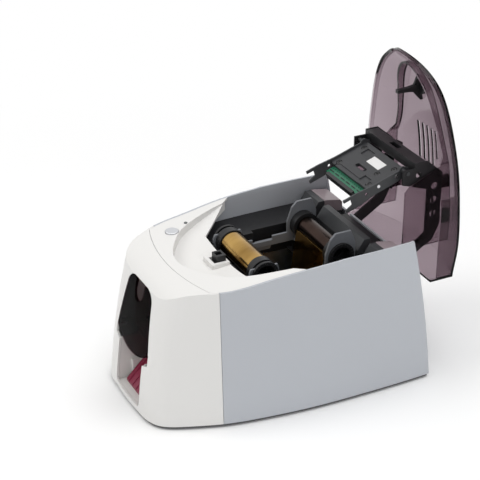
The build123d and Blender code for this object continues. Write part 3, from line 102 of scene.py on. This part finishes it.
# ---- ribbon cassette details, in metres ---------------------------------------------
RING_RIBS = 24
RIB_MIDDLE = 0.0126
RIB_SIZE = (0.0009, 0.0030, 0.00035)

# ---- surfaces: widths and heights in metres, pattern scales in cells per metre ------
EDGE = 0.0005
FINE_EDGE = 0.00025
# Width and depth of the painted shade that darkens smoked plastic's colour along its edges.
SMOKED_PAINTED_SHADE_WIDTH = 0.0011
PAINTED_EDGE_SHADE = 0.22
EDGE_MATCH_PLAIN = 0.95
EDGE_MATCH_SHARP = 0.80
NOISE_LOW = 0.25
NOISE_HIGH = 0.75
DRIFT_SCALE = 14.0
SHEEN_SCALE = 60.0
SHEEN_SWING = 0.05
GRAIN_HEIGHT = 0.00004
LINE_SCALE = 900.0
LINE_HEIGHT = 0.00003
SMOKED_DRIFT_SCALE = 9.0
SMOKED_SHEEN_SCALE = 70.0
SMOKED_RIPPLE_SCALE = 240.0
SMOKED_RIPPLE_HEIGHT = 0.00005
HOOP_SCALE = 1400.0
# Scale of the broad bands of painted reflection on the ribbon film.
REFLECTION_BAND_SCALE = 48.0
WRINKLE_SCALE = 45.0
WRINKLE_HEIGHT = 0.0004
TRACK_SCALE = 420.0
TRACK_HEIGHT = 0.00003
MASK_SHEEN_SCALE = 200.0
PAPER_SCALE = 1.5

WHITE = (0.76, 0.752, 0.735)
COOL_GREY = (0.475, 0.495, 0.53)
BLACK = (0.012, 0.012, 0.013)
CHARCOAL = (0.045, 0.047, 0.050)
GOLD = (0.60, 0.385, 0.125)
# Dark colour of the painted reflection bands on the gold film.
GOLD_PAINTED_REFLECTION = (0.20, 0.105, 0.022)
UMBER = (0.055, 0.035, 0.028)
# Dark colour of the painted reflection bands on the dark film.
UMBER_PAINTED_REFLECTION = (0.035, 0.022, 0.018)
CRIMSON = (0.22, 0.012, 0.045)
PALE_PLUM = (0.94, 0.89, 0.915)
ROSE = (0.78, 0.62, 0.65)
BOARD_GREEN = (0.004, 0.105, 0.052)
TRACK_GREEN = (0.008, 0.15, 0.075)
PAPER_WHITE = (0.96, 0.96, 0.96)


# ---- material building --------------------------------------------------------------
def shader(name):
    material = bpy.data.materials.new(name)
    material.use_nodes = True
    tree = material.node_tree
    principled = tree.nodes["Principled BSDF"]
    return material, tree, principled


def noise(tree, scale, detail=3.0, stretch=(1.0, 1.0, 1.0)):
    """Noise laid out in metres on the piece itself, so that it stays put when a joint moves."""
    place = tree.nodes.new("ShaderNodeTexCoord")
    mapping = tree.nodes.new("ShaderNodeMapping")
    mapping.inputs["Scale"].default_value = stretch
    tree.links.new(place.outputs["Object"], mapping.inputs["Vector"])
    texture = tree.nodes.new("ShaderNodeTexNoise")
    texture.inputs["Scale"].default_value = scale
    texture.inputs["Detail"].default_value = detail
    tree.links.new(mapping.outputs["Vector"], texture.inputs["Vector"])
    return texture.outputs["Fac"]


def spread(tree, value, low, high):
    """Noise brought to run between two values."""
    ranger = tree.nodes.new("ShaderNodeMapRange")
    ranger.inputs["From Min"].default_value = NOISE_LOW
    ranger.inputs["From Max"].default_value = NOISE_HIGH
    ranger.inputs["To Min"].default_value = low
    ranger.inputs["To Max"].default_value = high
    tree.links.new(value, ranger.inputs["Value"])
    return ranger.outputs["Result"]


def colour_mix(tree, share):
    """A mix of two colours, A and B, with a share of B."""
    mix = tree.nodes.new("ShaderNodeMix")
    mix.data_type = "RGBA"
    tree.links.new(share, mix.inputs["Factor"])
    return mix


def tint(tree, value, colour, amount):
    """A colour that wanders a little lighter and darker."""
    mix = colour_mix(tree, value)
    mix.inputs["A"].default_value = (*[c * (1 - amount) for c in colour], 1)
    mix.inputs["B"].default_value = (*[min(1, c * (1 + amount)) for c in colour], 1)
    return mix.outputs["Result"]


def shaded(tree, share, base, shade):
    """A linked colour that turns into a fixed, darker one by a share, used for painted shade and
    painted reflection.
    """
    mix = colour_mix(tree, share)
    mix.inputs["B"].default_value = (*shade, 1)
    tree.links.new(base, mix.inputs["A"])
    return mix.outputs["Result"]


def bumped(tree, value, height, strength):
    """A bump node that raises the surface by a pattern."""
    bump = tree.nodes.new("ShaderNodeBump")
    bump.inputs["Distance"].default_value = height
    bump.inputs["Strength"].default_value = strength
    tree.links.new(value, bump.inputs["Height"])
    return bump


def relief(tree, principled, value, height, strength, radius):
    """Fine surface relief over softly rounded edges."""
    bevel = tree.nodes.new("ShaderNodeBevel")
    bevel.samples = 4
    bevel.inputs["Radius"].default_value = radius
    bump = bumped(tree, value, height, strength)
    tree.links.new(bevel.outputs["Normal"], bump.inputs["Normal"])
    tree.links.new(bump.outputs["Normal"], principled.inputs["Normal"])


def moulded(name, colour, rough, grain=2600.0, strength=0.25, vary=0.025, radius=EDGE, gloss=0.42):
    """Moulded plastic: spark-eroded grain, a slow drift of tone and a patchy sheen."""
    material, tree, principled = shader(name)
    tone = tint(tree, noise(tree, DRIFT_SCALE, detail=2.0), colour, vary)
    tree.links.new(tone, principled.inputs["Base Color"])
    sheen = spread(tree, noise(tree, SHEEN_SCALE), rough - SHEEN_SWING, rough + SHEEN_SWING)
    tree.links.new(sheen, principled.inputs["Roughness"])
    principled.inputs["Specular IOR Level"].default_value = gloss
    relief(tree, principled, noise(tree, grain, detail=2.0), GRAIN_HEIGHT, strength, radius)
    return material


def metal(name, colour, rough, stretch):
    """Drawn or turned metal with fine lines along one direction."""
    material, tree, principled = shader(name)
    lines = noise(tree, LINE_SCALE, detail=4.0, stretch=stretch)
    tree.links.new(tint(tree, lines, colour, amount=0.10), principled.inputs["Base Color"])
    sheen = spread(tree, lines, rough - 0.07, rough + 0.09)
    tree.links.new(sheen, principled.inputs["Roughness"])
    principled.inputs["Metallic"].default_value = 1.0
    relief(tree, principled, lines, LINE_HEIGHT, strength=0.2, radius=FINE_EDGE)
    return material


def edge_share(tree, width):
    """1 within a width of a sharp edge, 0 on plain surfaces: the mask for painted shade along
    edges.
    """
    rounded = tree.nodes.new("ShaderNodeBevel")
    rounded.samples = 6
    rounded.inputs["Radius"].default_value = width
    plain = tree.nodes.new("ShaderNodeNewGeometry")
    match = tree.nodes.new("ShaderNodeVectorMath")
    match.operation = "DOT_PRODUCT"
    tree.links.new(rounded.outputs["Normal"], match.inputs[0])
    tree.links.new(plain.outputs["Normal"], match.inputs[1])
    share = tree.nodes.new("ShaderNodeMapRange")
    share.inputs["From Min"].default_value = EDGE_MATCH_PLAIN
    share.inputs["From Max"].default_value = EDGE_MATCH_SHARP
    tree.links.new(match.outputs["Value"], share.inputs["Value"])
    return share.outputs["Result"]


def smoked(name, colour, density, keeps, bending):
    """Smoked clear plastic, with painted shade darkening its colour along its edges, and darker
    the further light travels through it.
    """
    material, tree, principled = shader(name)
    tone = tint(tree, noise(tree, SMOKED_DRIFT_SCALE, detail=2.0), colour, amount=0.04)
    # Painted shade: the colour turns darker near sharp edges, standing in for the dark edge bands
    # of clear plastic.
    dark = [c * PAINTED_EDGE_SHADE for c in colour]
    edge_shaded = shaded(tree, edge_share(tree, SMOKED_PAINTED_SHADE_WIDTH), tone, dark)
    tree.links.new(edge_shaded, principled.inputs["Base Color"])
    principled.inputs["Specular IOR Level"].default_value = 0.3
    sheen = spread(tree, noise(tree, SMOKED_SHEEN_SCALE), 0.03, 0.09)
    tree.links.new(sheen, principled.inputs["Roughness"])
    principled.inputs["Transmission Weight"].default_value = 1.0
    principled.inputs["IOR"].default_value = bending
    ripple = noise(tree, SMOKED_RIPPLE_SCALE, detail=2.0)
    bump = bumped(tree, ripple, SMOKED_RIPPLE_HEIGHT, strength=0.06)
    tree.links.new(bump.outputs["Normal"], principled.inputs["Normal"])
    absorb = tree.nodes.new("ShaderNodeVolumeAbsorption")
    absorb.inputs["Color"].default_value = (*keeps, 1)
    absorb.inputs["Density"].default_value = density
    tree.links.new(absorb.outputs["Volume"], tree.nodes["Material Output"].inputs["Volume"])
    return material


def film(name, colour, shade, rough):
    """Wound ribbon: a metallic coat with broad darker bands of painted reflection, fine hoop lines
    and soft wrinkles.
    """
    material, tree, principled = shader(name)
    hoops = noise(tree, HOOP_SCALE, stretch=(1.0, 0.02, 0.02))
    bands = noise(tree, REFLECTION_BAND_SCALE, detail=2.0, stretch=(1.0, 0.45, 0.45))
    tone = tint(tree, hoops, colour, amount=0.07)
    # Painted reflection: broad darker bands in the colour stand in for dark surroundings reflected
    # in the film.
    reflection_banded = shaded(tree, spread(tree, bands, 0.0, 0.85), tone, shade)
    tree.links.new(reflection_banded, principled.inputs["Base Color"])
    sheen = spread(tree, hoops, rough - 0.03, rough + 0.04)
    tree.links.new(sheen, principled.inputs["Roughness"])
    principled.inputs["Metallic"].default_value = 1.0
    wrinkles = noise(tree, WRINKLE_SCALE, detail=1.0, stretch=(0.35, 1.0, 1.0))
    relief(tree, principled, wrinkles, WRINKLE_HEIGHT, strength=0.10, radius=FINE_EDGE)
    return material


def circuit(name):
    """Green solder mask in small blocks, with paler and slightly raised lines between them."""
    material, tree, principled = shader(name)
    place = tree.nodes.new("ShaderNodeTexCoord")
    tracks = tree.nodes.new("ShaderNodeTexBrick")
    tracks.inputs["Scale"].default_value = TRACK_SCALE
    tracks.inputs["Mortar Size"].default_value = 0.06
    tracks.inputs["Color1"].default_value = (*BOARD_GREEN, 1)
    tracks.inputs["Color2"].default_value = (*[c * 0.8 for c in BOARD_GREEN], 1)
    tracks.inputs["Mortar"].default_value = (*TRACK_GREEN, 1)
    tree.links.new(place.outputs["Object"], tracks.inputs["Vector"])
    tree.links.new(tracks.outputs["Color"], principled.inputs["Base Color"])
    sheen = spread(tree, noise(tree, MASK_SHEEN_SCALE), 0.26, 0.38)
    tree.links.new(sheen, principled.inputs["Roughness"])
    relief(tree, principled, tracks.outputs["Fac"], TRACK_HEIGHT, strength=0.3, radius=FINE_EDGE)
    return material


def make_materials():
    """Every material, by the record's slot that it finishes."""
    turned = (0.03, 1.0, 1.0)
    drawn = (1.0, 0.05, 1.0)
    brushed = (1.0, 1.0, 0.05)
    return {
        "white_shell": moulded("white_shell", WHITE, 0.40, vary=0.012),
        "grey_side": moulded("grey_side", COOL_GREY, 0.46, grain=2200.0, vary=0.015),
        "dark_tray": moulded("dark_tray", (0.10, 0.10, 0.105), 0.6, gloss=0.3),
        "foot_rubber": moulded(
            "foot_rubber", (0.03, 0.03, 0.03), 0.8, grain=1200.0, strength=0.5
        ),
        "frame_steel": metal("frame_steel", (0.55, 0.56, 0.57), 0.36, drawn),
        "bright_steel": metal("bright_steel", (0.66, 0.66, 0.67), 0.22, turned),
        "black_plastic": moulded("black_plastic", BLACK, 0.36, vary=0.10, gloss=0.30),
        "dark_grey": moulded("dark_grey", CHARCOAL, 0.38, vary=0.06, gloss=0.32),
        "taupe_plastic": moulded("taupe_plastic", (0.27, 0.22, 0.235), 0.34, vary=0.04),
        "white_inner": moulded("white_inner", (0.74, 0.73, 0.71), 0.5, vary=0.015),
        "crimson_pad": moulded("crimson_pad", CRIMSON, 0.34, vary=0.10),
        "green_board": circuit("green_board"),
        "led_lens": moulded("led_lens", (0.10, 0.11, 0.11), 0.12, grain=400.0, strength=0.05),
        "bronze_bush": metal("bronze_bush", (0.50, 0.33, 0.16), 0.40, turned),
        "motor_can": metal("motor_can", (0.42, 0.42, 0.43), 0.34, turned),
        "smoked_lid": smoked(
            "smoked_lid", PALE_PLUM, density=420.0, keeps=(0.16, 0.03, 0.10), bending=1.22
        ),
        "cable_black": moulded("cable_black", (0.015, 0.015, 0.016), 0.36, grain=900.0),
        "head_grey": moulded("head_grey", (0.035, 0.036, 0.039), 0.34, vary=0.08, gloss=0.32),
        "label_paper": moulded(
            "label_paper", (0.80, 0.80, 0.79), 0.62, grain=5200.0, strength=0.4
        ),
        "bar_black": moulded("bar_black", (0.016, 0.016, 0.017), 0.16, strength=0.08),
        "cassette_grey": moulded("cassette_grey", (0.155, 0.163, 0.178), 0.38, vary=0.05),
        "gold_film": film("gold_film", GOLD, GOLD_PAINTED_REFLECTION, 0.17),
        "dark_film": film("dark_film", UMBER, UMBER_PAINTED_REFLECTION, 0.2),
        "smoked_window": smoked(
            "smoked_window", ROSE, density=900.0, keeps=(0.24, 0.02, 0.08), bending=1.06
        ),
        "silver_button": metal("silver_button", (0.60, 0.61, 0.63), 0.42, brushed),
        "roller_rubber": moulded(
            "roller_rubber", (0.05, 0.05, 0.052), 0.72, grain=1500.0, strength=0.4
        ),
        "gear_plastic": moulded(
            "gear_plastic", (0.66, 0.64, 0.58), 0.42, vary=0.03, radius=FINE_EDGE
        ),
    }


def dress_nodes(materials):
    for row in frame["record"]["subparts"]:
        node = NODES[row["node"]]
        node.data.materials.clear()
        node.data.materials.append(materials[row["material_slot"]])


# ---- mesh helpers -------------------------------------------------------------------
def mesh_piece(name, bm, body, materials, slot):
    """A piece made from bm, which it frees, riding on a body and finished like a slot."""
    mesh = bpy.data.meshes.new(name)
    bm.to_mesh(mesh)
    bm.free()
    piece = bpy.data.objects.new(name, mesh)
    bpy.context.scene.collection.objects.link(piece)
    mesh.materials.append(materials[slot])
    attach(piece, body)


def loft_loops(bm, loops):
    """Skins closed loops of equal length one after another and caps both ends."""
    rings = [[bm.verts.new(point) for point in loop] for loop in loops]
    count = len(rings[0])
    for lower, upper in zip(rings, rings[1:]):
        for i in range(count):
            following = (i + 1) % count
            bm.faces.new((lower[i], lower[following], upper[following], upper[i]))
    bm.faces.new(rings[0][::-1])
    bm.faces.new(rings[-1])


def loop_round(place, across, along, radius, corners):
    """A loop of points about place in the plane of two directions, with flats or, at 0, round."""
    points = []
    for step in range(LOOP_STEPS):
        turn = 2 * math.pi * step / LOOP_STEPS
        reach = radius
        if corners:
            wedge = 2 * math.pi / corners
            reach = radius * math.cos(wedge / 2) / math.cos(turn % wedge - wedge / 2)
        offset = across * (reach * math.cos(turn)) + along * (reach * math.sin(turn))
        points.append(place + offset)
    return points


def chip(bm, place, across, along, out, size):
    """A small block on a surface that narrows a little towards its top."""
    width, length, height = size
    loops = []
    for rise, share in CHIP_PROFILE:
        base = place + out * (height * rise)
        half_x = across * (width / 2 * share)
        half_y = along * (length / 2 * share)
        loops.append([
            base - half_x - half_y,
            base + half_x - half_y,
            base + half_x + half_y,
            base - half_x + half_y,
        ])
    loft_loops(bm, loops)


def centred_row(count, step):
    """Evenly stepped places about zero."""
    return [(i - (count - 1) / 2) * step for i in range(count)]


# ---- print head details -------------------------------------------------------------
def head_point(x, depth, down):
    """A point of the open print head: depth behind its face, down from its top edge."""
    return HEAD_ORIGIN + ACROSS * x + HEAD_BACK * depth + HEAD_DOWN * down


def make_head_screws(materials):
    """Pan heads with a six-sided socket, sunk in the plate's counterbores."""
    bm = bmesh.new()
    for x, down in HEAD_SCREWS:
        loops = []
        for depth, share, corners in SCREW_PROFILE:
            place = head_point(x, depth, down)
            loops.append(loop_round(place, ACROSS, HEAD_DOWN, SCREW_HEAD * share, corners))
        loft_loops(bm, loops)
    mesh_piece("head_screw_heads", bm, "print_head", materials, "bar_black")


def head_chip(bm, x, down, size):
    chip(bm, head_point(x, BOARD_DEPTH, down), ACROSS, HEAD_DOWN, -HEAD_BACK, size)


def make_head_chips(materials):
    """Driver chips and smaller parts along the head's green circuit strip."""
    bm = bmesh.new()
    for x in centred_row(DRIVER_CHIPS, DRIVER_STEP):
        head_chip(bm, x, DRIVER_DOWN, DRIVER_SIZE)
    for x in centred_row(SMALL_CHIPS, SMALL_STEP):
        wander = random.uniform(-SMALL_WANDER, SMALL_WANDER)
        head_chip(bm, x + wander, SMALL_DOWN, SMALL_SIZE)
    mesh_piece("head_chips", bm, "print_head", materials, "bar_black")


# ---- ribbon cassette details --------------------------------------------------------
def add_ring_ribs(bm, middle, out):
    """Radial ribs round the middle of a spool ring's outer face."""
    for step in range(RING_RIBS):
        turn = 2 * math.pi * step / RING_RIBS
        along = Vector((0, math.cos(turn), math.sin(turn)))
        across = Vector((0, -math.sin(turn), math.cos(turn)))
        chip(bm, middle + along * RIB_MIDDLE, across, along, out, RIB_SIZE)


def make_spool_ribs(materials):
    """Ribs on the outer faces of the four spool rings."""
    for core, body in (("supply_core", "supply_spool"), ("takeup_core", "takeup_spool")):
        low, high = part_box(core)
        middle = (low + high) / 2
        bm = bmesh.new()
        add_ring_ribs(bm, Vector((low.x, middle.y, middle.z)), -ACROSS)
        add_ring_ribs(bm, Vector((high.x, middle.y, middle.z)), ACROSS)
        mesh_piece(core + "_ribs", bm, body, materials, "black_plastic")


# ---- stage --------------------------------------------------------------------------
def backdrop_material():
    """Pale paper under the object, which turns into plain white light further out."""
    material, tree, principled = shader("backdrop_white")
    pale = tint(tree, noise(tree, PAPER_SCALE, detail=1.0), PAPER_WHITE, amount=0.003)
    tree.links.new(pale, principled.inputs["Base Color"])
    principled.inputs["Roughness"].default_value = 0.9
    principled.inputs["Specular IOR Level"].default_value = 0.05
    place = tree.nodes.new("ShaderNodeTexCoord")
    distance = tree.nodes.new("ShaderNodeVectorMath")
    distance.operation = "LENGTH"
    tree.links.new(place.outputs["Object"], distance.inputs[0])
    fade = tree.nodes.new("ShaderNodeMapRange")
    fade.interpolation_type = "SMOOTHSTEP"
    fade.inputs["From Min"].default_value = FADE_START
    fade.inputs["From Max"].default_value = FADE_END
    tree.links.new(distance.outputs["Value"], fade.inputs["Value"])
    glow = tree.nodes.new("ShaderNodeEmission")
    glow.inputs["Color"].default_value = (1, 1, 1, 1)
    mix = tree.nodes.new("ShaderNodeMixShader")
    tree.links.new(fade.outputs["Result"], mix.inputs["Fac"])
    tree.links.new(principled.outputs["BSDF"], mix.inputs[1])
    tree.links.new(glow.outputs["Emission"], mix.inputs[2])
    tree.links.new(mix.outputs["Shader"], tree.nodes["Material Output"].inputs["Surface"])
    return material


def make_floor():
    half = FLOOR_HALF
    mesh = bpy.data.meshes.new("floor")
    corners = [(-half, -half, 0), (half, -half, 0), (half, half, 0), (-half, half, 0)]
    mesh.from_pydata(corners, [], [(0, 1, 2, 3)])
    floor = bpy.data.objects.new("floor", mesh)
    bpy.context.scene.collection.objects.link(floor)
    mesh.materials.append(backdrop_material())


def make_lights():
    """Round area lamps, all aimed at the object's middle."""
    for name, place, diameter, power, colour in LAMPS:
        data = bpy.data.lights.new(name, "AREA")
        data.shape = "DISK"
        data.size = diameter
        data.energy = power
        data.color = colour
        light = bpy.data.objects.new(name, data)
        light.location = place
        light.rotation_euler = (LAMP_AIM - Vector(place)).to_track_quat("-Z", "Y").to_euler()
        bpy.context.scene.collection.objects.link(light)


def largest(tree, first, second):
    """A node's output that is the larger of two values."""
    pick = tree.nodes.new("ShaderNodeMath")
    pick.operation = "MAXIMUM"
    tree.links.new(first, pick.inputs[0])
    tree.links.new(second, pick.inputs[1])
    return pick.outputs["Value"]


def make_world():
    """Soft fill light all round, seen as plain white directly, in gloss and through glass."""
    world = bpy.data.worlds.new("studio")
    bpy.context.scene.world = world
    world.use_nodes = True
    tree = world.node_tree
    background = tree.nodes["Background"]
    background.inputs["Color"].default_value = (1.0, 1.0, 1.0, 1)
    rays = tree.nodes.new("ShaderNodeLightPath")
    seen = largest(tree, rays.outputs["Is Camera Ray"], rays.outputs["Is Transmission Ray"])
    seen = largest(tree, seen, rays.outputs["Is Glossy Ray"])
    level = tree.nodes.new("ShaderNodeMapRange")
    level.inputs["To Min"].default_value = FILL_LIGHT
    level.inputs["To Max"].default_value = 1.0
    tree.links.new(seen, level.inputs["Value"])
    tree.links.new(level.outputs["Result"], background.inputs["Strength"])


def make_camera():
    """A camera with the photograph's estimated place, direction and focal length."""
    data = bpy.data.cameras.new("photo_camera")
    data.sensor_width = SENSOR
    data.lens = FOCAL_PIXELS / PHOTO_PIXELS * SENSOR
    camera = bpy.data.objects.new("photo_camera", data)
    camera.location = CAMERA_PLACE
    camera.rotation_euler = CAMERA_AIM.to_track_quat("-Z", "Y").to_euler()
    bpy.context.scene.collection.objects.link(camera)
    bpy.context.scene.camera = camera


def main():
    bpy.context.scene.view_settings.view_transform = "Standard"
    materials = make_materials()
    dress_nodes(materials)
    make_head_screws(materials)
    make_head_chips(materials)
    make_spool_ribs(materials)
    make_floor()
    make_lights()
    make_world()
    make_camera()


main()
